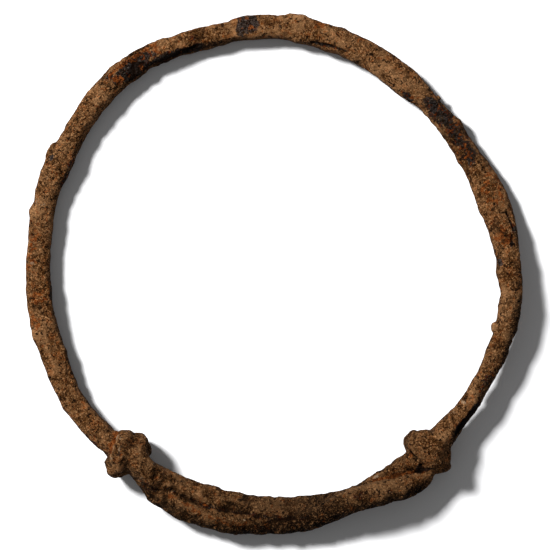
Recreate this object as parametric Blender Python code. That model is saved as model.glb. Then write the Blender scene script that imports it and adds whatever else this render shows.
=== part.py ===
# An old iron bracelet of the kind whose knots once slid along it.
# One rod is bent to a hoop. Each end runs past the other and is wound about it.
# Rust has made it all one solid. Metres, +Z up, lying flat, its knots towards -Y.

import math

import bmesh
import bpy
import numpy as np

# Driving sizes
HOOP_DIAMETER = 0.0710         # plain part of the hoop, measured at the middle of the rod
ROD_DIAMETER = 0.0035          # usual thickness of the rusted rod
PAIRED_DIAMETER = 0.0033       # the rod where its two ends run side by side
WOUND_DIAMETER = 0.0029        # the rod's ends, drawn thinner to be wound
RUST_JOIN = 0.0006             # depth to which a wound end has grown into what it holds
RESTING_CLEARANCE = 0.00012    # daylight under the rod between the spots it rests on
RESTING_WEAR = 0.00012         # depth worn off the underside at those spots
KNOT_WEAR = 0.00030            # depth worn off the underside of each knot

# Fineness of the solid
ROD_CORNERS = 12               # corners round the rod
STATION_SPACING = 0.0016       # distance between corners along the rod
HOOP_STEP = 3.0                # degrees between the points worked out along the hoop
WINDING_STEP = 20.0            # degrees between those worked out round a knot
WELD_DISTANCE = 1e-6
SHARP_ANGLE = 50.0

# Places round the hoop are clock angles, in degrees clockwise from +Y.
RIGHT_KNOT = 140.0
LEFT_KNOT = 217.0
FULL_TURN = 360.0

# The hoop was bent by hand. Each bend is a clock angle, how far the rod stands out
# from a true circle there as a share of the hoop's radius, and how wide it spreads.
HOOP_BENDS = (
    (-143.0, -0.008, 6.0),
    (-112.0, -0.012, 9.0),
    (-90.0, -0.022, 19.0),
    (-35.0, 0.034, 16.0),
    (2.0, 0.023, 12.0),
    (52.0, -0.036, 22.0),
    (103.0, 0.026, 16.0),
    (136.0, 0.020, 14.0),
)

# Where forging and rust have left the rod thicker or thinner, in the same form,
# as a share of its usual thickness.
ROD_SWELLS = (
    (-105.0, 0.08, 14.0),
    (-62.0, 0.14, 6.0),
    (-38.0, 0.06, 8.0),
    (-12.0, -0.12, 14.0),
    (7.0, 0.12, 5.0),
    (20.0, 0.10, 8.0),
    (34.0, 0.22, 7.0),
    (46.0, -0.14, 8.0),
    (74.0, 0.30, 11.0),
    (118.0, -0.21, 17.0),
    (135.0, 0.14, 4.0),
)

# Where the hammer has left the rod lower than it is wide.
ROD_FLATS = (
    (-62.0, 0.10, 8.0),
    (33.0, 0.18, 9.0),
    (74.0, 0.28, 12.0),
)

# Clock angles of the spots on which the plain hoop rests, and their spread.
RESTING_SPOTS = (-88.0, -28.0, 6.0, 60.0)
RESTING_SPREAD = 7.0

# The hoop climbs from the floor to each knot between these clock angles.
LEFT_CLIMB = (-120.0, -141.0)
RIGHT_CLIMB = (68.0, 92.0)

# Routes of the paired strands, as clock angle, distance out from the hoop's circle
# and height of the middle, both in thicknesses of the rod.
OUTER_STRAND = (
    (144.5, 0.88, 1.10),
    (147.5, 0.86, 1.24),
    (151.5, 0.69, 1.42),
    (156.0, 0.54, 1.48),
    (161.0, 0.42, 1.42),
    (166.0, 0.55, 1.14),
    (171.0, 0.67, 0.94),
    (177.0, 0.70, 0.87),
    (184.0, 0.76, 0.86),
    (191.0, 0.79, 0.84),
    (198.0, 0.76, 0.80),
    (203.5, 0.64, 0.81),
    (208.5, 0.38, 0.90),
    (212.5, 0.10, 1.00),
)
INNER_STRAND = (
    (144.5, 0.14, 1.00),
    (149.0, 0.15, 0.90),
    (154.0, 0.19, 0.76),
    (160.0, 0.32, 0.65),
    (166.0, 0.25, 0.58),
    (172.0, 0.16, 0.56),
    (178.0, 0.09, 0.58),
    (185.0, 0.02, 0.60),
    (192.0, -0.04, 0.62),
    (198.0, -0.05, 0.68),
    (203.0, -0.05, 0.88),
    (207.5, -0.06, 1.22),
    (211.0, -0.06, 1.62),
)

# How each end is wound: where it starts and ends round the strand that it holds,
# in degrees with 0 on top, 90 outside and 180 beneath, where along that strand it
# starts, and how far it moves along in each turn, both in thicknesses of the wound
# end and counted clockwise.
RIGHT_WINDING = {"start": 160.0, "end": 520.0, "place": 0.40, "advance": -0.90, "lean": 0.10}
LEFT_WINDING = {"start": -40.0, "end": -500.0, "place": -0.42, "advance": 1.12, "lean": -0.10}

# Hard lumps of rust that show in the outline: clock angle, side of the rod in the
# same degrees, and length along the rod, girth and how far it stands out, in rod
# thicknesses.
RUST_LUMPS = (
    (6.5, 90.0, 1.25, 0.60, 0.12),
    (104.5, 270.0, 0.65, 0.50, 0.10),
    (-76.5, 80.0, 1.40, 0.60, 0.09),
    (-61.5, 80.0, 0.95, 0.34, 0.08),
    (44.5, 95.0, 0.36, 0.34, 0.09),
)

COLLECTION = "bracelet"
HELPERS = "bracelet_helpers"
NODE = "bracelet"
RUST_COLOUR = (0.118, 0.062, 0.030, 1.0)
RUST_ROUGHNESS = 0.85
RUST_METALLIC = 0.1


def clear_scene():
    for thing in list(bpy.data.objects):
        bpy.data.objects.remove(thing, do_unlink=True)


def new_collection(name):
    collection = bpy.data.collections.new(name)
    bpy.context.scene.collection.children.link(collection)
    return collection


def soft_sum(clock, bumps):
    # Sum of soft bumps: height times e to the minus square of distance over spread.
    return sum(height * math.exp(-((clock - middle) / spread) ** 2) for middle, height, spread in bumps)


def smooth_step(value, start, end):
    # From 0 at the start to 1 at the end, level at both.
    share = min(max((value - start) / (end - start), 0.0), 1.0)
    return share * share * (3.0 - 2.0 * share)


def wound_radius():
    # Distance from the middle of a held strand to the middle of the end wound on it.
    return (PAIRED_DIAMETER + WOUND_DIAMETER) / 2 - RUST_JOIN


def knot_height():
    # Height of the held strand, so that the end wound beneath it rests on the floor.
    return wound_radius() + WOUND_DIAMETER / 2 - KNOT_WEAR


def rod_thickness(clock):
    return ROD_DIAMETER * (1.0 + soft_sum(clock, ROD_SWELLS))


def flatness(clock):
    # Height of the rod's section as a share of its width.
    return 1.0 - soft_sum(clock, ROD_FLATS)


def hoop_height(clock):
    # Height of the rod's middle: just off the floor, sunk to it at the resting spots,
    # and raised towards each knot.
    resting = min(1.0, soft_sum(clock, [(spot, 1.0, RESTING_SPREAD) for spot in RESTING_SPOTS]))
    floor_gap = RESTING_CLEARANCE - (RESTING_CLEARANCE + RESTING_WEAR) * resting
    low = rod_thickness(clock) / 2 * flatness(clock) + floor_gap
    climb = smooth_step(clock, *LEFT_CLIMB) + smooth_step(clock, *RIGHT_CLIMB)
    return low + (knot_height() - low) * min(1.0, climb)


def hoop_out(clock):
    # How far the rod's middle stands out from a true circle.
    return HOOP_DIAMETER / 2 * soft_sum(clock, HOOP_BENDS)


def place(clock, out, up):
    # A point from its clock angle, its distance out from the circle and its height.
    angle = math.radians(clock)
    radius = HOOP_DIAMETER / 2 + out
    return (radius * math.sin(angle), radius * math.cos(angle), up)


def hoop_points():
    # The single part of the rod, from the left knot over the top to the right knot.
    clocks = np.arange(LEFT_KNOT - FULL_TURN, RIGHT_KNOT, HOOP_STEP)
    return [(*place(clock, hoop_out(clock), hoop_height(clock)), rod_thickness(clock)) for clock in clocks]


def strand_points(route):
    return [
        (*place(clock, out * ROD_DIAMETER, up * ROD_DIAMETER), PAIRED_DIAMETER)
        for clock, out, up in route
    ]


def winding_points(winding, knot, held_out):
    # A helix about the held strand: out is radius times the sine of the turned angle,
    # up is radius times its cosine, and the place moves on evenly as it turns.
    turned = winding["end"] - winding["start"]
    count = int(abs(turned) / WINDING_STEP) + 1
    points = []
    for angle in np.linspace(winding["start"], winding["end"], count):
        turns = abs(angle - winding["start"]) / FULL_TURN
        sideways = math.sin(math.radians(angle))
        along = winding["place"] + winding["advance"] * turns + winding["lean"] * sideways
        clock = knot + math.degrees(along * WOUND_DIAMETER / (HOOP_DIAMETER / 2))
        out = held_out + wound_radius() * sideways
        up = knot_height() + wound_radius() * math.cos(math.radians(angle))
        points.append((*place(clock, out, up), WOUND_DIAMETER))
    return points


def rod_route():
    # The whole rod from one wound end to the other, as rows of x, y, z and thickness.
    right_end = winding_points(RIGHT_WINDING, RIGHT_KNOT, hoop_out(RIGHT_KNOT))[::-1]
    left_end = winding_points(LEFT_WINDING, LEFT_KNOT, hoop_out(LEFT_KNOT - FULL_TURN))
    outer = strand_points(OUTER_STRAND)
    inner = strand_points(INNER_STRAND)
    return np.array(right_end + outer + hoop_points() + inner + left_end)


def smooth_route(rows, spacing):
    # A smooth curve through the rows: between two rows a cubic whose slope at each is
    # the slope across its neighbours, read at even distances.
    steps = np.linalg.norm(np.diff(rows[:, :3], axis=0), axis=1)
    travelled = np.concatenate(([0.0], np.cumsum(steps)))
    slopes = np.gradient(rows, travelled, axis=0)
    count = int(travelled[-1] / spacing) + 1
    wanted = np.linspace(0.0, travelled[-1], count)
    left = np.clip(np.searchsorted(travelled, wanted, side="right") - 1, 0, len(rows) - 2)
    span = (travelled[left + 1] - travelled[left])[:, None]
    share = ((wanted - travelled[left])[:, None]) / span
    return (
        rows[left] * (2 * share**3 - 3 * share**2 + 1)
        + slopes[left] * span * (share**3 - 2 * share**2 + share)
        + rows[left + 1] * (3 * share**2 - 2 * share**3)
        + slopes[left + 1] * span * (share**3 - share**2)
    )


def rod_curve(rows, name, collection):
    curve = bpy.data.curves.new(name, "CURVE")
    curve.dimensions = "3D"
    curve.twist_mode = "MINIMUM"
    curve.bevel_depth = 1.0
    curve.bevel_resolution = (ROD_CORNERS - 4) // 2
    curve.use_fill_caps = True
    spline = curve.splines.new("POLY")
    spline.points.add(len(rows) - 1)
    for point, (x, y, z, thickness) in zip(spline.points, rows):
        point.co = (x, y, z, 1.0)
        point.radius = thickness / 2
    rod = bpy.data.objects.new(name, curve)
    collection.objects.link(rod)
    return rod


def curve_to_mesh(rod, collection):
    # The curve's caps are loose, so they are welded before anything is joined to it.
    evaluated = rod.evaluated_get(bpy.context.evaluated_depsgraph_get())
    mesh = bpy.data.meshes.new_from_object(evaluated)
    welded = bmesh.new()
    welded.from_mesh(mesh)
    bmesh.ops.remove_doubles(welded, verts=welded.verts, dist=WELD_DISTANCE)
    bmesh.ops.recalc_face_normals(welded, faces=welded.faces)
    welded.to_mesh(mesh)
    welded.free()
    solid = bpy.data.objects.new(rod.name + "_solid", mesh)
    solid.matrix_world = rod.matrix_world
    collection.objects.link(solid)
    bpy.data.objects.remove(rod, do_unlink=True)
    return solid


def flatten_rod(solid):
    # Press the rod's section down about its own middle where the hammer flattened it.
    for vertex in solid.data.vertices:
        clock = math.degrees(math.atan2(vertex.co.x, vertex.co.y))
        middle = hoop_height(clock)
        vertex.co.z = middle + (vertex.co.z - middle) * flatness(clock)


def add_lump(lump, index, collection):
    clock, side, length, girth, stand_out = lump
    angle = math.radians(side)
    reach = rod_thickness(clock) / 2 + (stand_out - girth / 2) * ROD_DIAMETER
    out = hoop_out(clock) + reach * math.sin(angle)
    up = hoop_height(clock) + reach * flatness(clock) * math.cos(angle)
    bpy.ops.mesh.primitive_ico_sphere_add(subdivisions=2, radius=0.5, location=place(clock, out, up))
    ball = bpy.context.object
    ball.name = f"lump_{index + 1}"
    ball.scale = (length * ROD_DIAMETER, girth * ROD_DIAMETER, girth * ROD_DIAMETER)
    ball.rotation_euler = (0.0, 0.0, -math.radians(clock))
    for owner in list(ball.users_collection):
        owner.objects.unlink(ball)
    collection.objects.link(ball)
    return ball


def hide_helper(helper):
    helper.hide_render = True
    helper.display_type = "WIRE"


def combine(solid, helper, operation):
    join = solid.modifiers.new(f"{operation.lower()}_{helper.name}", "BOOLEAN")
    join.operation = operation
    join.object = helper
    join.solver = "EXACT"
    join.use_self = True


def add_floor_cutter(collection):
    bpy.ops.mesh.primitive_cube_add(size=1.0)
    cutter = bpy.context.object
    cutter.name = "floor_cutter"
    depth = ROD_DIAMETER
    cutter.scale = (HOOP_DIAMETER * 2, HOOP_DIAMETER * 2, depth)
    cutter.location = (0.0, 0.0, -depth / 2)
    for owner in list(cutter.users_collection):
        owner.objects.unlink(cutter)
    collection.objects.link(cutter)
    return cutter


def rust_material():
    material = bpy.data.materials.new("rusted_iron")
    material.use_nodes = True
    shader = material.node_tree.nodes["Principled BSDF"]
    shader.inputs["Base Color"].default_value = RUST_COLOUR
    shader.inputs["Roughness"].default_value = RUST_ROUGHNESS
    shader.inputs["Metallic"].default_value = RUST_METALLIC
    material.diffuse_color = RUST_COLOUR
    return material


def fill_sealed_voids(mesh):
    # Where strands close on each other a pocket can be left inside. Rust fills it, so
    # only the largest skin is kept.
    skins = bmesh.new()
    skins.from_mesh(mesh)
    waiting = set(skins.faces)
    found = []
    while waiting:
        skin = set()
        edge_of_skin = [waiting.pop()]
        while edge_of_skin:
            face = edge_of_skin.pop()
            skin.add(face)
            neighbours = {other for edge in face.edges for other in edge.link_faces} & waiting
            waiting -= neighbours
            edge_of_skin.extend(neighbours)
        found.append(skin)
    found.sort(key=len)
    for skin in found[:-1]:
        bmesh.ops.delete(skins, geom=list(skin), context="FACES")
    skins.to_mesh(mesh)
    skins.free()


def finish_solid(source, collection):
    # One plain mesh, its outline centred over the origin and its flats on the floor.
    evaluated = source.evaluated_get(bpy.context.evaluated_depsgraph_get())
    mesh = bpy.data.meshes.new_from_object(evaluated)
    fill_sealed_voids(mesh)
    corners = np.array([vertex.co[:] for vertex in mesh.vertices])
    middle = (corners.min(axis=0) + corners.max(axis=0)) / 2
    for vertex in mesh.vertices:
        vertex.co.x -= middle[0]
        vertex.co.y -= middle[1]
    mesh.name = NODE
    mesh.materials.clear()
    mesh.materials.append(rust_material())
    mesh.shade_smooth()
    mesh.set_sharp_from_angle(angle=math.radians(SHARP_ANGLE))
    bracelet = bpy.data.objects.new(NODE, mesh)
    collection.objects.link(bracelet)
    return bracelet


def build():
    clear_scene()
    parts = new_collection(COLLECTION)
    helpers = new_collection(HELPERS)
    rows = smooth_route(rod_route(), STATION_SPACING)
    solid = curve_to_mesh(rod_curve(rows, "rod", helpers), helpers)
    flatten_rod(solid)
    for index, lump in enumerate(RUST_LUMPS):
        ball = add_lump(lump, index, helpers)
        hide_helper(ball)
        combine(solid, ball, "UNION")
    cutter = add_floor_cutter(helpers)
    hide_helper(cutter)
    combine(solid, cutter, "DIFFERENCE")
    hide_helper(solid)
    finish_solid(solid, parts)


build()
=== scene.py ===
import math

import bpy
import numpy as np
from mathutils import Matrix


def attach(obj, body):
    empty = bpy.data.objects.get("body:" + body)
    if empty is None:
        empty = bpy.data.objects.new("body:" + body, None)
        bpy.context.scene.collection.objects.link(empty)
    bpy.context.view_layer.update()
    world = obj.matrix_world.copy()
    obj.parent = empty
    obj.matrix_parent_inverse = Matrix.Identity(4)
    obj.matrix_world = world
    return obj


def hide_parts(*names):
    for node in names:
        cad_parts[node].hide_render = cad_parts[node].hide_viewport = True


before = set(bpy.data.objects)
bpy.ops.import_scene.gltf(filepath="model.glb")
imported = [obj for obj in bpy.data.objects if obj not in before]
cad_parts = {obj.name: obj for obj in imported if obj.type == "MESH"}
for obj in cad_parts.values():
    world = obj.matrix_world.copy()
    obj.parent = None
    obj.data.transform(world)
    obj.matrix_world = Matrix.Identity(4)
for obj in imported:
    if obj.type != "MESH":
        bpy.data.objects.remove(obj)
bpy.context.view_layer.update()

# An old iron bracelet of the kind whose knots once slid along it, lying flat.
# Lengths below are in millimetres and are turned to metres as a mesh is made.
# Clock angles are in degrees about the hoop's centre, clockwise from the far side.
mm = 0.001

# the rod: the route and thicknesses of the solid that it stands for, except that the left
# knot is wound tighter
rod = {
    "hoopDiameter": 71.0,
    "rodDiameter": 3.5,
    "pairedDiameter": 3.3,            # where the two ends run side by side
    "woundDiameter": 2.9,             # of the ends, drawn thinner to be wound
    "rustJoin": 0.6,                  # how deep a wound end has grown into what it holds
    "restingClearance": 0.12,         # daylight under the rod between its resting spots
    "restingWear": 0.12,
    "knotWear": 0.30,
    "solidMiddle": (0.624, -0.707),   # the middle of the solid's box, from the hoop's centre
    "rightKnot": 140.0,
    "leftKnot": 217.0,
    "leftClimb": (-120.0, -141.0),
    "rightClimb": (68.0, 92.0),
    "restingSpots": (-88.0, -28.0, 6.0, 60.0),
    "restingSpread": 7.0,
    # clock angle, share of the hoop's radius, spread in degrees
    "bends": (
        (-143.0, -0.008, 6.0), (-112.0, -0.012, 9.0), (-90.0, -0.022, 19.0), (-35.0, 0.034, 16.0),
        (2.0, 0.023, 12.0), (52.0, -0.036, 22.0), (103.0, 0.026, 16.0), (136.0, 0.020, 14.0),
    ),
    # clock angle, share of the rod's thickness, spread in degrees
    "swells": (
        (-105.0, 0.08, 14.0), (-62.0, 0.14, 6.0), (-38.0, 0.06, 8.0), (-12.0, -0.12, 14.0),
        (7.0, 0.12, 5.0), (20.0, 0.10, 8.0), (34.0, 0.22, 7.0), (46.0, -0.14, 8.0),
        (74.0, 0.30, 11.0), (118.0, -0.21, 17.0), (135.0, 0.14, 4.0),
    ),
    # clock angle, share by which the section is lower, spread in degrees
    "flats": ((-62.0, 0.10, 8.0), (33.0, 0.18, 9.0), (74.0, 0.28, 12.0)),
    # clock angle, distance out from the hoop's circle and height, in rod thicknesses
    "outerStrand": (
        (144.5, 0.88, 1.10), (147.5, 0.86, 1.24), (151.5, 0.69, 1.42), (156.0, 0.54, 1.48),
        (161.0, 0.42, 1.42), (166.0, 0.55, 1.14), (171.0, 0.67, 0.94), (177.0, 0.70, 0.87),
        (184.0, 0.76, 0.86), (191.0, 0.79, 0.84), (198.0, 0.76, 0.80), (203.5, 0.64, 0.81),
        (208.5, 0.38, 0.90), (212.5, 0.10, 1.00),
    ),
    "innerStrand": (
        (144.5, 0.14, 1.00), (149.0, 0.15, 0.90), (154.0, 0.19, 0.76), (160.0, 0.32, 0.65),
        (166.0, 0.25, 0.58), (172.0, 0.16, 0.56), (178.0, 0.09, 0.58), (185.0, 0.02, 0.60),
        (192.0, -0.04, 0.62), (198.0, -0.05, 0.68), (203.0, -0.05, 0.88), (207.5, -0.06, 1.22),
        (211.0, -0.06, 1.62),
    ),
    # degrees turned about the held strand, place and advance in wound thicknesses, and
    # how far the last turn is drawn in, as a share of its radius
    "rightWinding": {
        "start": 160.0, "end": 520.0, "place": 0.40, "advance": -0.90, "lean": 0.10, "drawnIn": 0.0,
    },
    "leftWinding": {
        "start": -40.0, "end": -500.0, "place": -0.22, "advance": 0.72, "lean": -0.10, "drawnIn": 0.45,
    },
    "drawnInTurns": (0.88, 1.15),     # turns between which a winding is drawn in
    "windingStep": 20.0,
    "hoopStep": 3.0,
}

# the hammered section and the skin
section = {
    "stationSpacing": 0.35,
    "corners": 44,
    "skinPitch": 0.208,       # grid on which the strands are fused to one skin
    "rustFillet": 0.35,       # how far rust has filled the corners between strands
    # clock angle, squareness from 0 to 1, spread in degrees
    "squareness": ((-95.0, 0.9, 40.0), (-20.0, 0.9, 30.0), (28.0, 0.4, 16.0), (80.0, 0.2, 22.0)),
    # clock angle, degrees that the flat top tilts outwards, spread in degrees
    "tilts": (
        (-48.0, 13.0, 12.0), (-18.0, 20.0, 14.0), (8.0, 8.0, 10.0),
        (52.0, -10.0, 12.0), (105.0, -6.0, 20.0),
    ),
    "roundPower": 2.0,        # power in the outline of a round section
    "squarePower": 1.6,       # what is added to it where the rod is squarest
    "facetLength": 5.0,       # of the hammer's marks, along the rod
    "facetsAround": 1.4,      # how closely they follow one another round it
    "facetsFrom": 20.0,       # where in their noise the marks start
    "facetDepth": 0.055,      # as a share of the rod's radius
    "endLength": 0.35,        # over which an end rounds off, as a share of its thickness
    "endLeast": 0.02,         # share of that length at which the first ring stands
}

# each noise starts from a number of its own
seeds = {
    "swells": 3, "lumps": 5, "grains": 7, "facets": 11, "scabs": 31, "pits": 51, "ragged": 71, "cracks": 91,
}
layerShare = 0.55             # height of each layer of a noise, as a share of the one before
layerGain = 1.7               # brings layered noise back to about -1 to 1

# rust that bridges the strands in the knots, and flakes and nodules that stand on the
# hoop: rows of clock angle, distance out, height and thickness along each
bridges = (
    ((139.8, 0.75, 5.5, 3.6), (138.0, 0.75, 5.4, 3.6), (136.2, 0.75, 5.0, 3.4), (134.2, 0.75, 4.5, 3.2),
     (131.5, 0.7, 3.9, 3.0)),
    ((145.2, 2.9, 3.9, 2.8), (142.8, 2.7, 4.1, 2.7), (140.6, 2.3, 4.4, 2.6), (139.0, 1.8, 4.6, 2.5)),
    ((220.2, -0.3, 4.6, 3.7), (222.0, -0.3, 4.2, 3.5), (224.0, -0.3, 3.9, 3.2), (226.0, -0.3, 3.7, 3.0)),
    ((142.0, -1.5, 4.6, 3.0), (140.2, -1.25, 5.2, 3.2), (138.2, -0.6, 5.2, 3.2), (136.0, 0.2, 4.9, 3.2)),
    ((211.0, 0.6, 4.2, 2.9), (213.5, 0.0, 4.6, 2.9), (216.0, -0.1, 4.8, 3.0), (218.0, 0.1, 4.8, 3.0)),
    ((222.2, -1.0, 3.9, 2.8), (220.7, -1.75, 4.1, 2.8), (219.3, -2.25, 4.3, 2.8), (218.0, -2.65, 4.3, 2.8)),
    ((-64.8, 1.4, 2.5, 1.0), (-63.2, 1.6, 2.6, 0.9), (-61.6, 1.8, 2.7, 0.8), (-60.2, 1.98, 2.7, 0.7),
     (-59.2, 2.1, 2.7, 0.6)),
    ((220.4, 1.5, 3.6, 2.6), (218.0, 2.0, 3.6, 2.7), (215.0, 1.75, 3.6, 2.5)),
    ((212.9, -1.7, 4.2, 2.2), (214.2, -2.15, 4.3, 2.3), (215.5, -2.75, 4.3, 2.4), (217.5, -3.0, 4.3, 2.4)),
    ((135.7, 1.7, 4.3, 2.0), (136.6, 2.35, 4.3, 2.3), (137.6, 2.9, 4.4, 2.5), (139.0, 2.8, 4.4, 2.5)),
    ((103.9, -0.5, 3.7, 1.1), (104.7, -0.7, 3.8, 1.2), (105.5, -0.5, 3.7, 1.1)),
    ((145.5, 1.3, 3.3, 2.3), (148.0, 0.9, 3.4, 2.3), (151.0, 0.45, 3.3, 2.2), (154.5, 0.0, 2.9, 2.1)),
    ((43.6, 0.15, 1.9, 0.9), (44.4, 0.35, 1.9, 0.8), (45.2, 0.55, 1.9, 0.6)),
)

# rust relief: sizes, and heights or depths, of what has grown on and fallen from the rod
rust = {
    "growth": 0.04,           # by which the rust stands out all over
    "swellSize": 5.0, "swellHeight": 0.10,
    "lumpSize": 1.7, "lumpHeight": 0.10,
    "grainSize": 0.7, "grainHeight": 0.075,
    "scabSize": 3.2, "scabEdge": 0.10, "scabStep": 0.09,
    "pitSpacing": 1.3, "pitWidth": 0.34, "pitLeast": 0.5, "pitDepth": 0.22,
    "pitNumbers": (0.35, 0.9),        # the pits' own numbers between which they deepen
    "crackSize": 1.5, "crackWidth": 0.10, "crackDepth": 0.16,
    "crackRoughness": 0.7,            # cracks open where the rust is rougher than this
    # clock angle, how much rougher than elsewhere, spread in degrees
    "roughPlaces": (
        (-35.0, 1.2, 7.0), (52.0, 0.6, 9.0), (182.0, 1.0, 20.0), (150.0, 0.6, 7.0), (218.0, 0.7, 6.0),
    ),
    # share of the relief at the sides, what the top adds, and how far up the top faces
    "sideRelief": 0.55, "topRelief": 0.45, "topFacing": (0.1, 0.6),
}

# where the outline swells or is eaten away: clock angle, side (1 outer, -1 inner, 0 top),
# length along the rod and height
edgeShape = (
    (-58.0, 1, 6.5, -0.40), (-124.0, 1, 1.8, 0.35), (-106.5, 1, 2.5, 0.2), (-33.0, 1, 4.5, -0.25),
    (-84.0, 1, 4.0, -0.25), (-74.0, 1, 1.6, -0.2), (-43.0, 1, 5.0, -0.2), (-5.5, 1, 4.5, 0.35),
    (2.0, 1, 2.5, -0.12), (17.0, 1, 2.4, 0.2), (103.0, 1, 2.5, 0.2), (124.0, 1, 3.0, 0.25),
    (142.8, 1, 2.0, 0.25), (154.0, 1, 6.0, -0.25), (-140.5, 1, 2.5, -0.25), (-51.0, 1, 3.5, -0.15),
    (-22.5, 1, 2.5, -0.25), (33.0, 1, 3.0, -0.2),
    (-112.0, -1, 1.6, 0.25), (-66.0, -1, 1.6, 0.15), (-30.0, -1, 2.0, -0.2), (138.0, -1, 2.0, 0.3),
    (-140.0, -1, 3.5, 0.25), (-134.0, -1, 3.5, 0.25), (-63.0, -1, 4.0, 0.2), (-22.0, -1, 4.5, -0.25),
    (-95.5, -1, 2.0, 0.2), (60.5, -1, 2.0, 0.2), (75.0, -1, 2.5, 0.2), (-8.5, -1, 4.0, -0.28),
    (17.5, -1, 2.0, -0.2), (91.0, -1, 1.6, 0.25), (131.0, -1, 5.0, 0.28), (146.0, -1, 3.0, 0.2),
    (52.5, 1, 2.2, 0.4), (60.0, 1, 4.5, -0.2), (111.5, 1, 4.0, 0.3), (138.0, 1, 1.6, 0.4),
    (187.5, 1, 3.0, 0.25), (200.5, 1, 2.5, 0.3), (207.5, 1, 2.0, 0.3),
    (-36.0, -1, 4.0, 0.15), (7.0, -1, 2.0, 0.2), (37.0, -1, 4.0, 0.2), (110.0, -1, 4.5, 0.25),
    (96.0, -1, 1.6, -0.35), (136.5, -1, 3.0, 0.25), (-122.5, -1, 2.5, -0.2), (169.5, -1, 3.5, -0.2),
    (-112.0, 0, 9.0, -0.25), (-36.0, 0, 9.0, -0.30),
)

# stains: clock angle, distance out from the hoop's circle, length along the rod, width
# across it and strength
stains = {
    # black scale, and painted shadow in the hollow under the outer edge at 117 to 133 degrees and in the pit
    # at 143
    "blackScaleAndShade": (
        (-84.0, 0.3, 4.4, 1.1, 0.5), (-34.4, 1.1, 6.6, 3.0, 1.0), (-39.5, 2.0, 2.0, 1.0, 0.8),
        (-28.5, 1.0, 2.5, 1.2, 0.6), (-18.5, 0.9, 0.9, 0.9, 0.5),
        (39.0, -2.3, 2.8, 0.9, 0.9), (45.3, -0.9, 2.2, 1.9, 1.0), (50.0, -0.9, 2.2, 2.0, 0.9),
        (117.0, 1.0, 4.5, 1.4, 0.5), (127.5, 1.6, 6.4, 1.2, 1.0),
        (143.2, 2.0, 1.9, 1.2, 1.0), (151.5, 2.3, 1.2, 0.9, 0.5), (158.0, 0.8, 3.0, 1.5, 0.4),
        (168.5, 3.1, 1.6, 0.9, 0.6), (175.0, 1.7, 4.0, 1.0, 0.5), (194.0, 1.3, 0.4, 1.1, 0.8),
        (-134.5, 1.6, 1.6, 0.6, 0.8), (219.6, 0.2, 1.6, 1.6, 0.5),
        (209.0, 1.9, 4.0, 1.6, 0.5),
    ),
    "greyScar": (
        (-5.0, 0.85, 3.8, 2.8, 1.0), (2.5, 0.9, 0.7, 0.9, 0.6), (-63.0, 1.1, 0.9, 0.7, 0.9),
        (-59.5, 0.9, 0.7, 0.6, 0.7), (45.3, -0.9, 1.9, 1.7, 0.8), (50.0, -0.9, 1.6, 1.6, 0.6),
        (88.5, -1.0, 1.2, 0.8, 1.0), (-34.0, 0.9, 1.6, 1.2, 0.6),
    ),
    "orangeRust": (
        (-103.0, 0.4, 2.2, 1.6, 0.5), (-97.0, -0.8, 1.8, 2.0, 0.5), (-86.0, 0.4, 5.0, 1.6, 0.5),
        (-38.5, 0.8, 1.3, 2.0, 0.6), (-36.0, 2.2, 1.5, 0.8, 0.9), (-29.5, 2.3, 1.5, 0.8, 0.9),
        (-27.0, 1.4, 1.6, 1.6, 0.5), (-4.4, 0.8, 0.8, 0.7, 1.0), (11.5, 1.4, 1.8, 1.4, 0.7),
        (21.8, 1.2, 1.4, 0.7, 0.6), (39.8, -2.2, 0.9, 0.6, 1.0), (59.0, -1.3, 3.0, 1.4, 0.5),
        (70.0, 0.0, 5.0, 3.0, 0.35), (82.0, -0.2, 3.2, 2.6, 0.5),
        (142.8, -0.5, 0.9, 0.9, 0.8), (161.0, 2.3, 0.8, 1.0, 0.9), (181.5, 3.1, 2.0, 1.0, 0.6),
        (191.5, 2.9, 1.3, 0.8, 0.7), (196.0, 2.5, 1.3, 0.7, 0.8),
    ),
    "rubbed": (
        (7.0, 1.0, 2.6, 2.4, 0.7), (-112.0, -0.2, 7.0, 1.0, 0.5), (33.0, -0.8, 8.0, 1.2, 0.6),
    ),
    "paleEarth": (
        (-88.7, 0.0, 0.5, 0.5, 0.8), (-74.0, 0.2, 0.8, 1.6, 0.4), (-68.0, 0.4, 1.3, 1.0, 0.4),
        (124.5, -0.2, 0.45, 0.7, 0.8), (128.0, -0.5, 0.9, 0.35, 0.5),
        (152.5, -0.5, 1.3, 0.4, 0.6), (185.8, 2.2, 0.6, 0.45, 0.8), (219.7, -0.7, 0.6, 1.3, 0.6),
        (221.0, -1.8, 0.4, 0.4, 0.7), (211.5, 1.1, 0.5, 0.45, 0.7),
    ),
}

# raised and sunk places: clock angle, distance out, length, width and height
features = (
    (6.4, 2.6, 3.4, 1.6, 0.36), (104.5, -0.6, 1.4, 1.0, 0.34), (-76.5, 1.9, 3.6, 1.4, 0.26),
    (-62.2, 2.2, 2.6, 0.5, 0.30), (44.8, 0.6, 0.7, 0.7, 0.28), (7.0, 1.0, 2.2, 2.2, 0.10),
    (-5.0, 1.0, 2.4, 1.8, -0.14), (-24.0, -0.5, 8.4, 0.8, -0.34), (15.0, -0.9, 5.4, 0.3, -0.24),
    (127.4, 1.7, 6.2, 1.0, -0.40), (143.0, 2.2, 1.2, 0.8, -0.70), (144.1, 1.85, 0.9, 0.6, -0.55),
    (142.5, 1.5, 0.5, 0.6, -0.4), (142.3, -0.2, 0.4, 1.6, -0.40), (39.0, -2.3, 2.6, 0.6, -0.22),
    (194.0, 1.3, 0.3, 1.0, -0.18),
)

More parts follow.
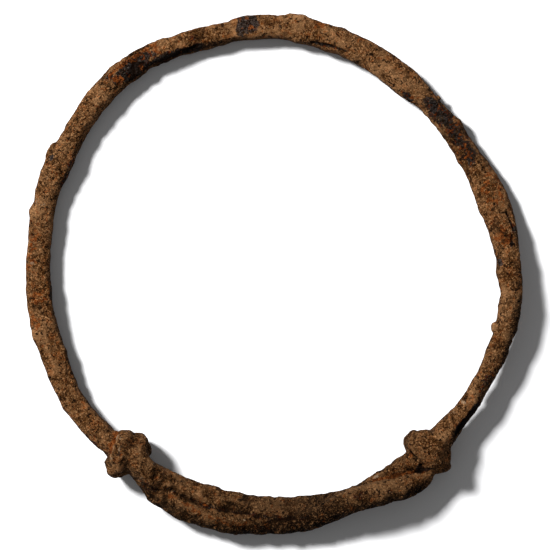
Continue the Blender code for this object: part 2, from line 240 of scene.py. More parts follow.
# cracks, crevices and ridges that run along the rod, each from point to point: width,
# height, and the points' clock angles and distances out
lineRelief = (
    (1.00, -0.20, ((144.8, 1.65), (147.0, 1.1), (150.0, 0.45), (153.5, -0.1), (158.0, -0.6))),
    (0.70, 0.24, ((143.8, 2.5), (148.0, 1.5), (153.0, 0.6), (159.0, 0.0), (166.0, 0.4))),
    (0.90, -0.22, ((171.0, 2.1), (176.0, 1.9), (180.0, 1.78), (185.0, 1.25), (190.0, 1.1), (195.0, 1.25),
                   (200.0, 0.95), (205.0, 0.6))),
    (0.45, 0.16, ((186.0, 3.2), (189.0, 3.1), (195.0, 2.5), (201.0, 1.8), (204.5, 1.4))),
    (0.30, -0.26, ((10.5, -1.05), (15.0, -1.0), (19.5, -1.05))),
    (0.45, -0.26, ((76.5, 1.0), (79.0, 1.3), (81.0, 1.5))), (0.45, -0.22, ((82.0, 1.2), (84.4, 0.9))),
    (0.45, 0.22, ((221.9, -2.0), (221.3, -1.0), (220.2, 0.8), (219.0, 2.1))),
)

# stains along such lines: width, strength, and points as above
lineStains = {
    # black scale, and painted shade in the groove between the paired strands, in the groove at -34 to -17
    # degrees and in the crevice by the pit at 143; black also lines the cracks
    "blackScaleAndShade": (
        (0.9, 0.5, ((171.0, 2.1), (176.0, 1.9), (180.0, 1.78), (185.0, 1.25), (190.0, 1.1), (195.0, 1.25),
                    (200.0, 0.95), (205.0, 0.6))),
        (1.4, 0.9, ((-34.0, 0.1), (-30.0, 0.0), (-24.0, -0.3), (-17.0, -0.8))),
        (2.7, 0.80, ((43.8, -1.0), (48.0, -1.1), (54.0, -1.1), (61.0, -1.0))),
        (0.5, 0.7, ((-98.0, -2.5), (-93.0, -2.7))), (0.6, 0.7, ((-68.0, -1.9), (-60.0, -1.6))),
        (0.4, 0.8, ((10.5, -1.05), (15.0, -1.0), (19.5, -1.05))),
        (0.5, 0.7, ((76.5, 1.0), (79.0, 1.3), (81.0, 1.5))), (0.4, 0.6, ((82.0, 1.2), (84.4, 0.9))),
        (0.9, 0.9, ((80.4, 1.5), (81.2, 1.4))), (0.7, 0.9, ((84.0, 0.95), (84.5, 0.9))),
        (0.8, 0.8, ((143.0, 2.1), (141.8, 2.6), (140.6, 2.9))),
    ),
    "orangeRust": (
        (0.6, 0.9, ((144.3, 1.75), (147.0, 1.1), (150.0, 0.45), (153.5, -0.1))),
        (0.7, 0.6, ((186.0, 3.2), (189.0, 3.1), (195.0, 2.5), (201.0, 1.8), (204.5, 1.4))),
        (0.9, 0.60, ((-41.0, 1.7), (-37.0, 2.2), (-34.0, 2.4), (-27.0, 2.2))),
        (1.1, 1.0, ((222.7, -1.8), (221.9, -0.7), (221.0, 0.5))),
    ),
    "paleEarth": (
        (0.35, 0.45, ((221.9, -2.0), (221.3, -1.0), (220.2, 0.8), (219.0, 2.1))),
    ),
    "rubbed": (
        (0.6, 0.9, ((143.8, 2.5), (148.0, 1.5), (153.0, 0.6), (159.0, 0.0))),
        (0.45, 1.0, ((42.5, -2.35), (46.0, -2.5), (50.0, -2.55), (53.5, -2.5))),
        (0.5, 0.8, ((221.9, -2.0), (221.3, -1.0), (220.2, 0.8), (219.0, 2.1))),
        (0.5, 0.8, ((170.0, 0.6), (176.0, 0.3), (183.0, -0.2), (192.0, -0.5))),
        (0.6, 0.6, ((186.0, 3.0), (189.0, 2.9), (195.0, 2.4), (201.0, 1.7))),
    ),
}

# painted shade on the sides that face away from the light: width, share, and points as above
shadedSides = (
    (3.8, 0.85, ((156.0, 3.6), (161.0, 3.1), (168.0, 3.3), (176.0, 3.5), (182.0, 3.9))),
    (3.0, 0.88, ((146.0, 4.6), (152.0, 4.1), (160.0, 3.4), (168.0, 3.7), (176.0, 3.9), (186.0, 4.3),
                 (196.0, 4.1), (203.0, 3.6), (209.0, 2.6))),
    (2.0, 0.80, ((97.0, 2.2), (105.0, 2.3), (115.0, 2.1), (125.0, 2.1), (133.0, 2.3))),
    (1.3, 0.70, ((-36.0, 0.0), (-30.0, -0.2), (-24.0, -0.4), (-16.0, -0.8), (-6.0, -1.2))),
)

# how much darker the rust is by stretch: clock angle, share, spread in degrees
darkness = (
    (-143.0, 0.17, 8.0), (53.0, 0.28, 8.0), (-35.0, 0.16, 6.0), (98.0, 0.12, 10.0), (118.0, 0.15, 14.0),
    (141.0, 0.28, 7.0), (152.0, 0.44, 8.0), (167.0, 0.80, 9.0), (182.0, 0.58, 11.0),
    (198.0, 0.27, 10.0), (215.0, 0.20, 8.0),
)

# how spots and lines fade: how ragged they are, the shares of their size between which they
# end, and how far up the skin faces where they take hold
fading = {
    "raggedSize": 1.1,
    "spotRagged": 0.45, "spotEdge": (0.6, 1.25), "spotFacing": (-0.35, 0.15),
    "lineRagged": 0.35, "lineEdge": (0.3, 1.3), "lineFacing": (-0.45, 0.0),
    "reliefRagged": 0.5,      # relief is less ragged than stains, by this share
    "edgeFacing": (0.35, 0.85),
}

# heights of rust that hands have rubbed, depths over which the hollows are painted black as shade, and how
# much darker the sides (black oxide with painted shade) and the shaded lines are by how far up they face
wear = {
    "rubbedHeight": (0.06, 0.28),
    "hollowDepth": (0.04, 0.30),
    "darkSide": 0.55, "darkSideFacing": (0.0, 0.7),
    "darkLineLeast": 0.4, "darkLineMore": 0.6, "darkLineFacing": (0.0, 0.25),
}


def softSum(clock, bumps):
    # sum of soft bumps: height times e to the minus square of distance over spread
    return sum(height * np.exp(-((clock - middle) / spread) ** 2) for middle, height, spread in bumps)


def smoothStep(value, start, end):
    # from 0 at the start to 1 at the end, level at both
    share = np.clip((value - start) / (end - start), 0.0, 1.0)
    return share * share * (3.0 - 2.0 * share)


def woundRadius():
    # half of each thickness, less what rust has joined
    return (rod["pairedDiameter"] + rod["woundDiameter"]) / 2 - rod["rustJoin"]


def knotHeight():
    # the winding's radius and half its thickness, less what has worn off
    return woundRadius() + rod["woundDiameter"] / 2 - rod["knotWear"]


def rodThickness(clock):
    # the rod's thickness times 1 plus its swells
    return rod["rodDiameter"] * (1.0 + softSum(clock, rod["swells"]))


def hoopOut(clock):
    # the hoop's radius times its bends
    return rod["hoopDiameter"] / 2 * softSum(clock, rod["bends"])


def flatness(clock):
    # height over width of the section: 1 less the flats
    return 1.0 - softSum(clock, rod["flats"])


def hoopHeight(clock):
    # just off the floor, sunk to it at the resting spots and raised towards each knot
    spots = [(spot, 1.0, rod["restingSpread"]) for spot in rod["restingSpots"]]
    resting = np.minimum(1.0, softSum(clock, spots))
    floorGap = rod["restingClearance"] - (rod["restingClearance"] + rod["restingWear"]) * resting
    low = rodThickness(clock) / 2 * flatness(clock) + floorGap
    climb = smoothStep(clock, *rod["leftClimb"]) + smoothStep(clock, *rod["rightClimb"])
    return low + (knotHeight() - low) * np.minimum(1.0, climb)


def place(clock, out, up, thickness):
    # rows of x, y, z and thickness, from clock angle, distance out and height
    angle = np.radians(clock)
    radius = rod["hoopDiameter"] / 2 + out
    x = radius * np.sin(angle)
    y = radius * np.cos(angle)
    return np.stack(np.broadcast_arrays(x, y, up, thickness), axis=-1)


def strandRows(route):
    # a paired strand's rows: its distances and heights times the rod's thickness
    clock, out, up = np.array(route).T
    return place(clock, out * rod["rodDiameter"], up * rod["rodDiameter"], rod["pairedDiameter"])


def windingRows(winding, knot, heldOut):
    # a helix about the held strand: out by the sine of the turned angle, up by its cosine
    count = int(abs(winding["end"] - winding["start"]) / rod["windingStep"]) + 1
    turned = np.linspace(winding["start"], winding["end"], count)
    turns = np.abs(turned - winding["start"]) / 360.0
    sideways = np.sin(np.radians(turned))
    radius = woundRadius() * (1 - winding["drawnIn"] * smoothStep(turns, *rod["drawnInTurns"]))
    along = winding["place"] + winding["advance"] * turns + winding["lean"] * sideways
    clock = knot + np.degrees(along * rod["woundDiameter"] / (rod["hoopDiameter"] / 2))
    up = knotHeight() + radius * np.cos(np.radians(turned))
    return place(clock, heldOut + radius * sideways, up, rod["woundDiameter"])


def rodRoute():
    # the whole rod in one: right winding, outer strand, hoop, inner strand, left winding
    rightEnd = windingRows(rod["rightWinding"], rod["rightKnot"], hoopOut(rod["rightKnot"]))[::-1]
    leftEnd = windingRows(rod["leftWinding"], rod["leftKnot"], hoopOut(rod["leftKnot"] - 360.0))
    clock = np.arange(rod["leftKnot"] - 360.0, rod["rightKnot"], rod["hoopStep"])
    hoop = place(clock, hoopOut(clock), hoopHeight(clock), rodThickness(clock))
    rows = (rightEnd, strandRows(rod["outerStrand"]), hoop, strandRows(rod["innerStrand"]), leftEnd)
    return np.concatenate(rows)


def smoothRoute(rows, spacing):
    # between two rows a cubic whose slope at each is the slope across its neighbours
    steps = np.linalg.norm(np.diff(rows[:, :3], axis=0), axis=1)
    travelled = np.concatenate(([0.0], np.cumsum(steps)))
    slopes = np.gradient(rows, travelled, axis=0)
    wanted = np.linspace(0.0, travelled[-1], int(travelled[-1] / spacing) + 1)
    left = np.clip(np.searchsorted(travelled, wanted, side="right") - 1, 0, len(rows) - 2)
    span = (travelled[left + 1] - travelled[left])[:, None]
    share = (wanted - travelled[left])[:, None] / span
    return (
        rows[left] * (2 * share**3 - 3 * share**2 + 1)
        + slopes[left] * span * (share**3 - 2 * share**2 + share)
        + rows[left + 1] * (3 * share**2 - 2 * share**3)
        + slopes[left + 1] * span * (share**3 - share**2)
    )


def scatter(cells, seed):
    # an even spread of numbers from 0 to 1, one for each whole-numbered cell: its three
    # numbers times three large ones, with their bits stirred together
    x, y, z = (cells[..., axis].astype(np.int64).astype(np.uint64) for axis in range(3))
    mixed = x * np.uint64(73856093) ^ y * np.uint64(19349663) ^ z * np.uint64(83492791)
    mixed = mixed ^ np.uint64(seed * 2654435761 % 2**32)
    mixed = (mixed ^ (mixed >> np.uint64(15))) * np.uint64(2246822519)
    mixed = (mixed ^ (mixed >> np.uint64(13))) * np.uint64(3266489917)
    mixed = mixed ^ (mixed >> np.uint64(16))
    return (mixed & np.uint64(0xFFFFFF)).astype(float) / 0xFFFFFF


def softNoise(points, size, seed):
    # numbers from -1 to 1 at the corners of a lattice of that size, smoothly blended between
    scaled = points / size
    cell = np.floor(scaled)
    share = scaled - cell
    share = share * share * share * (share * (share * 6 - 15) + 10)
    total = np.zeros(len(points))
    for corner in np.ndindex(2, 2, 2):
        weight = np.prod(np.where(np.array(corner) == 1, share, 1 - share), axis=1)
        total += weight * scatter(cell + np.array(corner), seed)
    return total * 2 - 1


def roughNoise(points, size, seed, layers=3):
    # soft noise on lattices each half the size and about half the height of the one before
    heights = layerShare ** np.arange(layers)
    total = sum(
        height * softNoise(points, size / 2**layer, seed + layer) for layer, height in enumerate(heights)
    )
    return total / heights.sum() * layerGain


def cellNoise(points, size, seed):
    # distance to the nearest of one scattered spot a cell, in cells, and that spot's number.
    # Three seeds in a row place the spot, and a later one gives its number
    scaled = points / size
    cell = np.floor(scaled)
    nearest = np.full(len(points), np.inf)
    number = np.zeros(len(points))
    for corner in np.ndindex(3, 3, 3):
        near = cell + np.array(corner) - 1
        spot = near + np.stack([scatter(near, seed + axis) for axis in range(3)], axis=1)
        distance = np.linalg.norm(spot - scaled, axis=1)
        closer = distance < nearest
        nearest = np.where(closer, distance, nearest)
        number = np.where(closer, scatter(near, seed + 7), number)
    return nearest, number


def carriedFrames(path):
    # two directions square to the path, carried along it with no needless twist
    ahead = np.gradient(path, axis=0)
    ahead /= np.linalg.norm(ahead, axis=1)[:, None]
    side = np.empty_like(ahead)
    side[0] = np.cross(ahead[0], (0.0, 0.0, 1.0))
    for station in range(len(path)):
        carried = side[max(station - 1, 0)]
        carried = carried - ahead[station] * np.dot(carried, ahead[station])
        side[station] = carried / np.linalg.norm(carried)
    return side, np.cross(side, ahead)


def clockOf(points):
    # the clock angle is the angle whose tangent is x over y
    return np.degrees(np.arctan2(points[..., 0], points[..., 1]))


def roughTube(rows, hammered):
    # a ring of corners at each station. Where the rod was hammered square, the radius is
    # that of a rounded square whose top tilts, and both ends close to a round
    side, over = carriedFrames(rows[:, :3])
    around = np.linspace(0, 2 * np.pi, section["corners"], endpoint=False)
    station = np.arange(len(rows)) * section["stationSpacing"]
    toEnd = np.minimum(station, station[::-1])
    endRound = rows[0, 3] * section["endLength"]
    closed = 1 - np.clip(toEnd / endRound, section["endLeast"], 1.0)
    closing = np.sqrt(np.clip(1 - closed**2, 0, 1))
    clock = clockOf(rows)
    grid = np.stack(np.broadcast_arrays(
        station[:, None] / section["facetLength"],
        np.cos(around)[None, :] * section["facetsAround"],
        np.sin(around)[None, :] * section["facetsAround"],
    ), axis=-1)
    facetPlaces = grid.reshape(-1, 3) + section["facetsFrom"]
    facets = softNoise(facetPlaces, 1.0, seeds["facets"]).reshape(len(rows), -1)
    if hammered:
        squareness = np.clip(softSum(clock, section["squareness"]), 0, 1)[:, None]
        power = section["roundPower"] + section["squarePower"] * squareness
        upAngle = np.arctan2(over[:, 2], side[:, 2])
        sideOut = np.sum(side[:, :2] * rows[:, :2], axis=1) * np.sin(upAngle)
        overOut = np.sum(over[:, :2] * rows[:, :2], axis=1) * np.cos(upAngle)
        tilt = np.radians(softSum(clock, section["tilts"])) * np.where(sideOut < overOut, 1, -1)
        turned = around[None, :] - (upAngle + tilt)[:, None]
        shape = (np.abs(np.cos(turned)) ** power + np.abs(np.sin(turned)) ** power) ** (-1 / power)
    else:
        shape = np.ones((len(rows), len(around)))
    radius = rows[:, 3, None] / 2 * closing[:, None] * shape * (1 + section["facetDepth"] * facets)
    ring = (
        side[:, None] * (radius * np.cos(around))[..., None]
        + over[:, None] * (radius * np.sin(around))[..., None]
    )
    return rows[:, None, :3] + ring


def tubeFaces(stations, corners):
    # quads between neighbouring rings, and one face across each end ring
    first = np.arange(stations - 1)[:, None] * corners
    step = np.arange(corners)[None, :]
    after = (step + 1) % corners
    quads = np.stack([first + step, first + corners + step, first + corners + after, first + after], axis=-1)
    faces = quads.reshape(-1, 4).tolist()
    faces.append(list(range(corners)))
    faces.append(list(range((stations - 1) * corners, stations * corners))[::-1])
    return faces


def newPiece(name, points, faces):
    # an object at the origin, its mesh in metres
    mesh = bpy.data.meshes.new(name)
    mesh.from_pydata((points.reshape(-1, 3) * mm).tolist(), [], faces)
    mesh.validate()
    mesh.update()
    piece = bpy.data.objects.new(name, mesh)
    bpy.context.scene.collection.objects.link(piece)
    return piece


def meshPoints(mesh):
    # the mesh's points as rows, in millimetres
    points = np.empty(len(mesh.vertices) * 3)
    mesh.vertices.foreach_get("co", points)
    return points.reshape(-1, 3) / mm


def meshNormals(mesh):
    # the direction out of the skin at each point, of length 1
    normals = np.empty(len(mesh.vertices) * 3)
    mesh.vertex_normals.foreach_get("vector", normals)
    return normals.reshape(-1, 3)


def movePoints(mesh, points):
    # puts the mesh's points where the rows say, in millimetres
    mesh.vertices.foreach_set("co", (points * mm).ravel())
    mesh.update()


def fusedMesh(source):
    # what touches becomes one skin on a grid of small cells
    fuse = source.modifiers.new("fuse", "REMESH")
    fuse.mode = "VOXEL"
    fuse.voxel_size = section["skinPitch"] * mm
    evaluated = source.evaluated_get(bpy.context.evaluated_depsgraph_get())
    mesh = bpy.data.meshes.new_from_object(evaluated)
    bpy.data.objects.remove(source, do_unlink=True)
    return mesh


def rustedSkin(tubes):
    # strands and bridges swell, fuse and shrink back, which leaves a fillet of rust in
    # every corner between them
    points = np.concatenate([tube.reshape(-1, 3) for tube in tubes])
    faces = []
    start = 0
    for tube in tubes:
        faces += [[corner + start for corner in face] for face in tubeFaces(len(tube), tube.shape[1])]
        start += tube.shape[0] * tube.shape[1]
    whole = newPiece("strands", points, faces)
    mesh = whole.data
    movePoints(mesh, meshPoints(mesh) + meshNormals(mesh) * section["rustFillet"])
    mesh = fusedMesh(whole)
    movePoints(mesh, meshPoints(mesh) - meshNormals(mesh) * section["rustFillet"])
    shrunk = bpy.data.objects.new("skin", mesh)
    bpy.context.scene.collection.objects.link(shrunk)
    return fusedMesh(shrunk)


def spotStrength(clock, out, facing, spots, ragged):
    # 1 inside a spot's ellipse and 0 outside, with a ragged edge, on what faces up
    total = np.zeros(len(clock))
    for middle, across, length, width, strength in spots:
        away = (clock - middle + 180.0) % 360.0 - 180.0
        along = np.radians(away) * rod["hoopDiameter"] / 2
        distance = np.sqrt((along / (length / 2)) ** 2 + ((out - across) / (width / 2)) ** 2)
        inside = 1 - smoothStep(distance + fading["spotRagged"] * ragged, *fading["spotEdge"])
        total = np.maximum(total, strength * inside)
    return total * smoothStep(facing, *fading["spotFacing"])


def lineStrength(clock, out, facing, lines, ragged):
    # 1 along a line through its points and 0 beyond its width, in the plane of the hoop,
    # on what faces up
    total = np.zeros(len(clock))
    radius = rod["hoopDiameter"] / 2 + out
    here = np.stack([radius * np.sin(np.radians(clock)), radius * np.cos(np.radians(clock))], axis=1)
    for width, strength, corners in lines:
        angle, across = np.array(corners).T
        line = place(angle, across, 0.0, 0.0)[:, :2]
        nearest = np.full(len(clock), np.inf)
        for first, second in zip(line[:-1], line[1:]):
            step = second - first
            share = np.clip((here - first) @ step / (step @ step), 0, 1)
            nearest = np.minimum(nearest, np.linalg.norm(here - first - share[:, None] * step, axis=1))
        inside = 1 - smoothStep(nearest / (width / 2) + fading["lineRagged"] * ragged, *fading["lineEdge"])
        total = np.maximum(total, strength * inside)
    return total * smoothStep(facing, *fading["lineFacing"])


def addAttribute(mesh, name, values):
    # one number a point, which the material reads by name
    attribute = mesh.attributes.new(name, "FLOAT", "POINT")
    attribute.data.foreach_set("value", values.astype(np.float32))


def rustRelief(points, clock):
    # height of the rust at each point: the size of each layer times its noise. Cracks run
    # where a slow noise passes through zero
    rougher = 1 + softSum(clock, rust["roughPlaces"]) + softSum(clock + 360.0, rust["roughPlaces"])
    scab = roughNoise(points, rust["scabSize"], seeds["scabs"])
    pit, pitNumber = cellNoise(points, rust["pitSpacing"], seeds["pits"])
    pitWidth = rust["pitWidth"] * (rust["pitLeast"] + pitNumber)
    pits = (1 - smoothStep(pit, 0.0, pitWidth)) * smoothStep(pitNumber, *rust["pitNumbers"])
    crackLine = np.abs(roughNoise(points, rust["crackSize"], seeds["cracks"]))
    crack = 1 - smoothStep(crackLine, 0.0, rust["crackWidth"])
    layers = (
        rust["swellHeight"] * softNoise(points, rust["swellSize"], seeds["swells"]),
        rust["lumpHeight"] * roughNoise(points, rust["lumpSize"], seeds["lumps"], 2) * rougher,
        rust["grainHeight"] * roughNoise(points, rust["grainSize"], seeds["grains"], 2) * rougher,
        rust["scabStep"] * smoothStep(scab, -rust["scabEdge"], rust["scabEdge"]),
        -rust["pitDepth"] * pits,
        -rust["crackDepth"] * crack * (rougher - rust["crackRoughness"]),
    )
    return sum(layers)


def braceletSkin():
    # the rod's tube, pressed down where the hammer flattened it, fused with the bridges
    rows = smoothRoute(rodRoute(), section["stationSpacing"])
    strand = roughTube(rows, hammered=True)
    clock = clockOf(strand)
    middle = hoopHeight(clock)
    strand[..., 2] = middle + (strand[..., 2] - middle) * flatness(clock)
    tubes = [strand]
    for bridge in bridges:
        clock, out, up, thickness = np.array(bridge).T
        route = smoothRoute(place(clock, out, up, thickness), section["stationSpacing"])
        tubes.append(roughTube(route, hammered=False))
    return rustedSkin(tubes)


def surfaceRelief(points, clock, out, facing, ragged):
    # the rust's relief, rougher on top than at the sides, where the outline is smooth, with
    # the raised and sunk places and the lines added
    topShare = rust["topRelief"] * smoothStep(np.abs(facing), *rust["topFacing"])
    height = rustRelief(points, clock) * (rust["sideRelief"] + topShare)
    softEdge = ragged * fading["reliefRagged"]
    for middle, across, length, width, rise in features:
        height += rise * spotStrength(clock, out, facing, ((middle, across, length, width, 1.0),), softEdge)
    for width, rise, corners in lineRelief:
        height += rise * lineStrength(clock, out, facing, ((width, 1.0, corners),), softEdge)
    return height - (height.mean() - rust["growth"])


def outlineRelief(points, normals, clock):
    # height times e to the minus square of distance over half the length, on what faces
    # out, in or up
    outward = np.sum(normals[:, :2] * points[:, :2], axis=1) / np.linalg.norm(points[:, :2], axis=1)
    height = np.zeros(len(clock))
    for middle, side, length, rise in edgeShape:
        away = (clock - middle + 180.0) % 360.0 - 180.0
        along = np.radians(away) * rod["hoopDiameter"] / 2
        turnedThere = smoothStep(side * outward if side else normals[:, 2], *fading["edgeFacing"])
        height += rise * np.exp(-((along / (length / 2)) ** 2)) * turnedThere
    return height


def stainBracelet(mesh, clock, out, facing, ragged, height):
    # what the material reads at each point: the stains, black scale with painted shade among them, what
    # hands have rubbed, the hollows painted black as shade, and the dark, which is 1 less the product of
    # what each darkening leaves
    for name, spots in stains.items():
        lines = lineStrength(clock, out, facing, lineStains.get(name, ()), ragged)
        strength = np.maximum(lines, spotStrength(clock, out, facing, spots, ragged))
        if name == "rubbed":
            strength = np.maximum(strength, smoothStep(height, *wear["rubbedHeight"]))
        addAttribute(mesh, name, strength)
    # painted shade: the deeper the relief sinks, the blacker the hollow
    addAttribute(mesh, "hollowShade", smoothStep(-height, *wear["hollowDepth"]))
    # the sides kept more black oxide than the top, which hands have rubbed; painted shade darkens them
    # further, the more so the less they face up
    sides = wear["darkSide"] * (1 - smoothStep(facing, *wear["darkSideFacing"]))
    stretch = np.clip(softSum(clock, darkness) + softSum(clock + 360.0, darkness), 0, 1)
    byFacing = wear["darkLineLeast"] + wear["darkLineMore"] * smoothStep(facing, *wear["darkLineFacing"])
    dark = lineStrength(clock, out, facing, shadedSides, ragged) * byFacing
    # darkness: darker rust by stretch, with painted shade on the sides and along the shaded lines
    addAttribute(mesh, "darkness", 1 - (1 - sides) * (1 - stretch) * (1 - dark))


def shapeBracelet():
    # the skin, moved out along its normals by the height of the rust
    mesh = braceletSkin()
    points = meshPoints(mesh)
    normals = meshNormals(mesh)
    clock = clockOf(points)
    out = np.linalg.norm(points[:, :2], axis=1) - rod["hoopDiameter"] / 2
    facing = normals[:, 2]
    ragged = roughNoise(points, fading["raggedSize"], seeds["ragged"])
    height = surfaceRelief(points, clock, out, facing, ragged)
    outline = outlineRelief(points, normals, clock)
    points = points + normals * (height + outline)[:, None]
    # what would pass through the floor is worn flat on it
    points[:, 2] = np.maximum(points[:, 2], 0.0)
    points[:, :2] -= rod["solidMiddle"]
    movePoints(mesh, points)
    stainBracelet(mesh, clock, out, facing, ragged, height)
    mesh.shade_smooth()
    bracelet = bpy.data.objects.new("rusted_bracelet", mesh)
    bpy.context.scene.collection.objects.link(bracelet)
    triangles = sum(len(face.vertices) - 2 for face in mesh.polygons)
    print("bracelet:", len(mesh.vertices), "points,", triangles, "triangles")
    return bracelet


def linear(hexColour):
    # an sRGB hex value as the linear colour that the shader reads
    parts = [int(hexColour[start:start + 2], 16) / 255 for start in (0, 2, 4)]
    return (*[part / 12.92 if part <= 0.04045 else ((part + 0.055) / 1.055) ** 2.4 for part in parts], 1.0)


def addNode(tree, kind, settings=None, **links):
    # a node with its settings, and its inputs set or linked by name
    node = tree.nodes.new(kind)
    for name, value in (settings or {}).items():
        setattr(node, name, value)
    for name, value in links.items():
        socket = node.inputs[int(name[1:])] if name[0] == "i" and name[1:].isdigit() else node.inputs[name]
        if isinstance(value, bpy.types.NodeSocket):
            tree.links.new(value, socket)
        else:
            socket.default_value = value
    return node


# colours of the rust, by name
rustColours = {
    "pit": "0e0501",
    "deepBrown": "251104",
    "brown": "573618",
    "tan": "a67a52",
    "orange": "8a4a1c",
    "red": "42180a",
    "black": "0a0401",
    "slate": "3d3935",
    "scar": "4a4340",
    "earth": "a08a70",
}


# the rust's finish
finish = {
    # noises: size in millimetres, layers of detail, how rough the layers are, distortion
    "clouds": (2.6, 4.0),
    "warmPlaces": (1.3, 3.0),
    "specks": (0.7, 4.0, 0.65),
    "grit": (0.26, 3.0, 0.75, 1.0),  # real grit is finer, and this is as fine as shows
    "clumps": (0.7, 2.0, 0.5, 0.6),
    "pores": (0.5, 2.0, 0.5, 0.8),
    "flecks": (0.7, 3.0),
    "gritShare": 0.75, "clumpShare": 0.25,
    # the two levels of a noise between which each shows, with its share at each where that
    # isn't 0 and 1
    "speckle": (0.34, 0.66),
    "paleClouds": (0.42, 0.64, 0.0, 0.4),
    "warmth": (0.53, 0.66, 0.0, 0.55),
    "darkGrain": (0.495, 0.425, 0.0, 0.95), "fewerInClouds": (0.42, 0.62, 1.0, 0.65),
    "tanGrain": (0.51, 0.58),
    "blackPores": (0.41, 0.35, 0.0, 0.9),
    "slateGrain": (0.46, 0.58), "redFlecks": (0.54, 0.61), "orangeFlecks": (0.62, 0.68),
    "scarGrain": (0.44, 0.60), "redGrain": (0.54, 0.40),
    "grainInDark": (0.51, 0.60, 1.0, 0.58),
    "bumpPores": (0.34, 0.46, 0.0, 0.35),
    # where a patch of stain ends, and how ragged it is
    "patchEdge": (0.40, 0.58), "patchRagged": 0.6, "scarRagged": 0.4, "orangeRagged": 1.1,
    # how much of each colour is laid on
    "speckleShare": 0.3, "rubbedShare": 0.5, "scaleShare": 0.95, "scarShare": 0.9, "orangeShare": 0.8,
    "hollowShare": 0.85, "earthShare": 0.5,
    "roughness": 0.85,
    "specular": 0.02,
    "bumpHeight": 0.8,
}


def rustedIron():
    # wrought iron corroded through its surface: dull, granular, with no bright metal left
    material = bpy.data.materials.new("rusted wrought iron")
    material.use_nodes = True
    tree = material.node_tree
    shader = tree.nodes["Principled BSDF"]
    objectPlace = addNode(tree, "ShaderNodeTexCoord").outputs["Object"]
    colours = {name: linear(value) for name, value in rustColours.items()}

    def attribute(name):
        # the number that the mesh holds under that name
        return addNode(tree, "ShaderNodeAttribute", {"attribute_name": name}).outputs["Fac"]

    def noise(sizeInMm, detail, roughness=0.6, distortion=0.0):
        # a noise whose scale is 1 over its size
        return addNode(tree, "ShaderNodeTexNoise", Vector=objectPlace, Scale=1 / (sizeInMm * mm),
                       Detail=detail, Roughness=roughness, Distortion=distortion).outputs["Fac"]

    def between(value, low, high, toLow=0.0, toHigh=1.0):
        # smoothly from one share to the other as the value goes from low to high
        settings = {"interpolation_type": "SMOOTHSTEP"}
        sockets = {"i0": value, "i1": low, "i2": high, "i3": toLow, "i4": toHigh}
        return addNode(tree, "ShaderNodeMapRange", settings, **sockets).outputs[0]

    def mixed(share, first, second):
        # the first colour times 1 less the share, and the second times the share
        settings = {"data_type": "RGBA", "blend_type": "MIX"}
        return addNode(tree, "ShaderNodeMix", settings, i0=share, i6=first, i7=second).outputs[2]

    def summed(first, second):
        # the first plus the second
        return addNode(tree, "ShaderNodeMath", {"operation": "ADD"}, i0=first, i1=second).outputs[0]

    def product(first, second):
        # the first times the second
        return addNode(tree, "ShaderNodeMath", {"operation": "MULTIPLY"}, i0=first, i1=second).outputs[0]

    cloud = noise(*finish["clouds"])
    speckle = between(noise(*finish["specks"]), *finish["speckle"])
    grit = noise(*finish["grit"])
    clumps = noise(*finish["clumps"])
    grain = summed(product(grit, finish["gritShare"]), product(clumps, finish["clumpShare"]))
    pores = noise(*finish["pores"])

    def patch(name, raggedness=finish["patchRagged"]):
        # a stain that breaks up into specks where it is weak: the speckle, moved to lie about
        # 0, times the raggedness is added to it
        total = summed(attribute(name), product(summed(speckle, -0.5), raggedness))
        return between(total, *finish["patchEdge"])

    # brown rust, more orange or more tan from place to place
    colour = mixed(between(cloud, *finish["paleClouds"]), colours["brown"], colours["tan"])
    warm = between(noise(*finish["warmPlaces"]), *finish["warmth"])
    colour = mixed(warm, colour, colours["orange"])
    # grains on it, dark in the hollows between and tan where they are rubbed
    darkGrain = product(between(grain, *finish["darkGrain"]), between(cloud, *finish["fewerInClouds"]))
    colour = mixed(darkGrain, colour, colours["deepBrown"])
    colour = mixed(between(grain, *finish["tanGrain"]), colour, colours["tan"])
    colour = mixed(product(speckle, finish["speckleShare"]), colour, colours["deepBrown"])
    colour = mixed(product(attribute("rubbed"), finish["rubbedShare"]), colour, colours["tan"])
    colour = mixed(between(pores, *finish["blackPores"]), colour, colours["pit"])
    # black scale with slate grey grains and specks of red and orange, laid also as painted shade in grooves,
    # hollows and a pit
    scaleTone = mixed(between(grit, *finish["slateGrain"]), colours["black"], colours["slate"])
    fleck = noise(*finish["flecks"])
    scaleTone = mixed(between(fleck, *finish["redFlecks"]), scaleTone, colours["red"])
    scaleTone = mixed(between(fleck, *finish["orangeFlecks"]), scaleTone, colours["orange"])
    colour = mixed(product(patch("blackScaleAndShade"), finish["scaleShare"]), colour, scaleTone)
    # purple-grey scars
    scarTone = mixed(between(grit, *finish["scarGrain"]), colours["black"], colours["scar"])
    scar = patch("greyScar", finish["scarRagged"])
    colour = mixed(product(scar, finish["scarShare"]), colour, scarTone)
    # orange rust, redder in its grains
    orangeTone = mixed(between(grit, *finish["redGrain"]), colours["orange"], colours["red"])
    orange = patch("orangeRust", finish["orangeRagged"])
    colour = mixed(product(orange, finish["orangeShare"]), colour, orangeTone)
    # the darkness, darker rust by stretch with painted shade on the sides, goes on in black; the grains that
    # stand out stay lighter where the rest is dark
    dimmed = product(attribute("darkness"), between(grain, *finish["grainInDark"]))
    colour = mixed(dimmed, colour, colours["black"])
    # painted shade: the hollows go pit black by their depth
    colour = mixed(product(attribute("hollowShade"), finish["hollowShare"]), colour, colours["pit"])
    colour = mixed(product(patch("paleEarth"), finish["earthShare"]), colour, colours["earth"])
    tree.links.new(colour, shader.inputs["Base Color"])
    shader.inputs["Roughness"].default_value = finish["roughness"]
    shader.inputs["Specular IOR Level"].default_value = finish["specular"]
    # relief too fine for the mesh
    relief = summed(grit, between(pores, *finish["bumpPores"]))
    bumpHeight = finish["bumpHeight"] * mm
    bump = addNode(tree, "ShaderNodeBump", Strength=1.0, Distance=bumpHeight, Height=relief)
    tree.links.new(bump.outputs["Normal"], shader.inputs["Normal"])
    return material


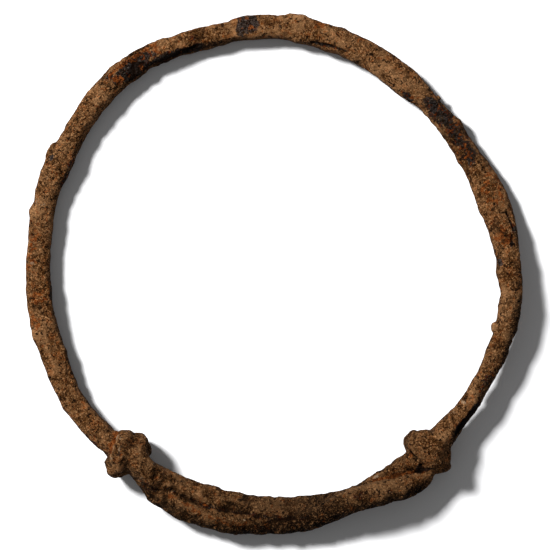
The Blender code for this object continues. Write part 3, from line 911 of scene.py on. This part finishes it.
# the stage: floor, light and camera
stage = {
    "floorSize": 900.0,
    "floorCells": 4,                 # along each side of it
    "floorColour": "dcdcdd",
    "floorRoughness": 0.9,
    "floorSpecular": 0.1,
    "lightTowards": (-0.80, 0.60),   # where the key light stands, seen from above
    "lightElevation": 43.5,
    "lightDistance": 1200.0,
    "lightSize": 230.0,
    "lightPower": 39.5,
    "skyStrength": 0.215,
    "pictureWidth": 82.5,            # what the picture takes in at the rod's height
    "pictureMiddle": (0.213, -0.232),
    "rodHeight": 1.75,
    "lens": 300.0,
    "sensor": 36.0,
    "viewReach": 10.0,               # metres
}


def makeStage():
    # a level floor, one soft light from the upper left, an even sky, and the camera above
    # at the height from which the lens takes in the picture's width
    cells = stage["floorCells"]
    corners = cells + 1
    line = np.linspace(-stage["floorSize"] / 2, stage["floorSize"] / 2, corners)
    x, y = np.meshgrid(line, line)
    points = np.stack([x, y, np.zeros_like(x)], axis=-1)
    starts = [row * corners + column for row in range(cells) for column in range(cells)]
    faces = [[start, start + 1, start + corners + 1, start + corners] for start in starts]
    floor = newPiece("floor", points, faces)
    paper = bpy.data.materials.new("white paper")
    paper.use_nodes = True
    shader = paper.node_tree.nodes["Principled BSDF"]
    shader.inputs["Base Color"].default_value = linear(stage["floorColour"])
    shader.inputs["Roughness"].default_value = stage["floorRoughness"]
    shader.inputs["Specular IOR Level"].default_value = stage["floorSpecular"]
    floor.data.materials.append(paper)

    elevation = math.radians(stage["lightElevation"])
    towards = np.array([*(np.array(stage["lightTowards"]) * math.cos(elevation)), math.sin(elevation)])
    lamp = bpy.data.lights.new("key_light", "AREA")
    lamp.size = stage["lightSize"] * mm
    lamp.energy = stage["lightPower"]
    key = bpy.data.objects.new("key_light", lamp)
    key.location = towards * stage["lightDistance"] * mm
    key.rotation_euler = (math.pi / 2 - elevation, 0.0, math.atan2(towards[0], -towards[1]))
    bpy.context.scene.collection.objects.link(key)

    world = bpy.data.worlds.new("room")
    world.use_nodes = True
    sky = world.node_tree.nodes["Background"]
    sky.inputs["Color"].default_value = (1.0, 1.0, 1.0, 1.0)
    sky.inputs["Strength"].default_value = stage["skyStrength"]
    bpy.context.scene.world = world
    bpy.context.scene.view_settings.view_transform = "Standard"

    optics = bpy.data.cameras.new("camera")
    optics.type = "PERSP"
    optics.sensor_width = stage["sensor"]
    optics.lens = stage["lens"]
    optics.clip_end = stage["viewReach"]
    camera = bpy.data.objects.new("camera", optics)
    height = stage["pictureWidth"] * stage["lens"] / stage["sensor"] + stage["rodHeight"]
    camera.location = (stage["pictureMiddle"][0] * mm, stage["pictureMiddle"][1] * mm, height * mm)
    bpy.context.scene.collection.objects.link(camera)
    bpy.context.scene.camera = camera
    print("stage: floor, key light, sky and camera")


makeStage()
bracelet = shapeBracelet()
bracelet.data.materials.append(rustedIron())
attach(bracelet, "root")
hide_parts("bracelet")
print("bracelet dressed")
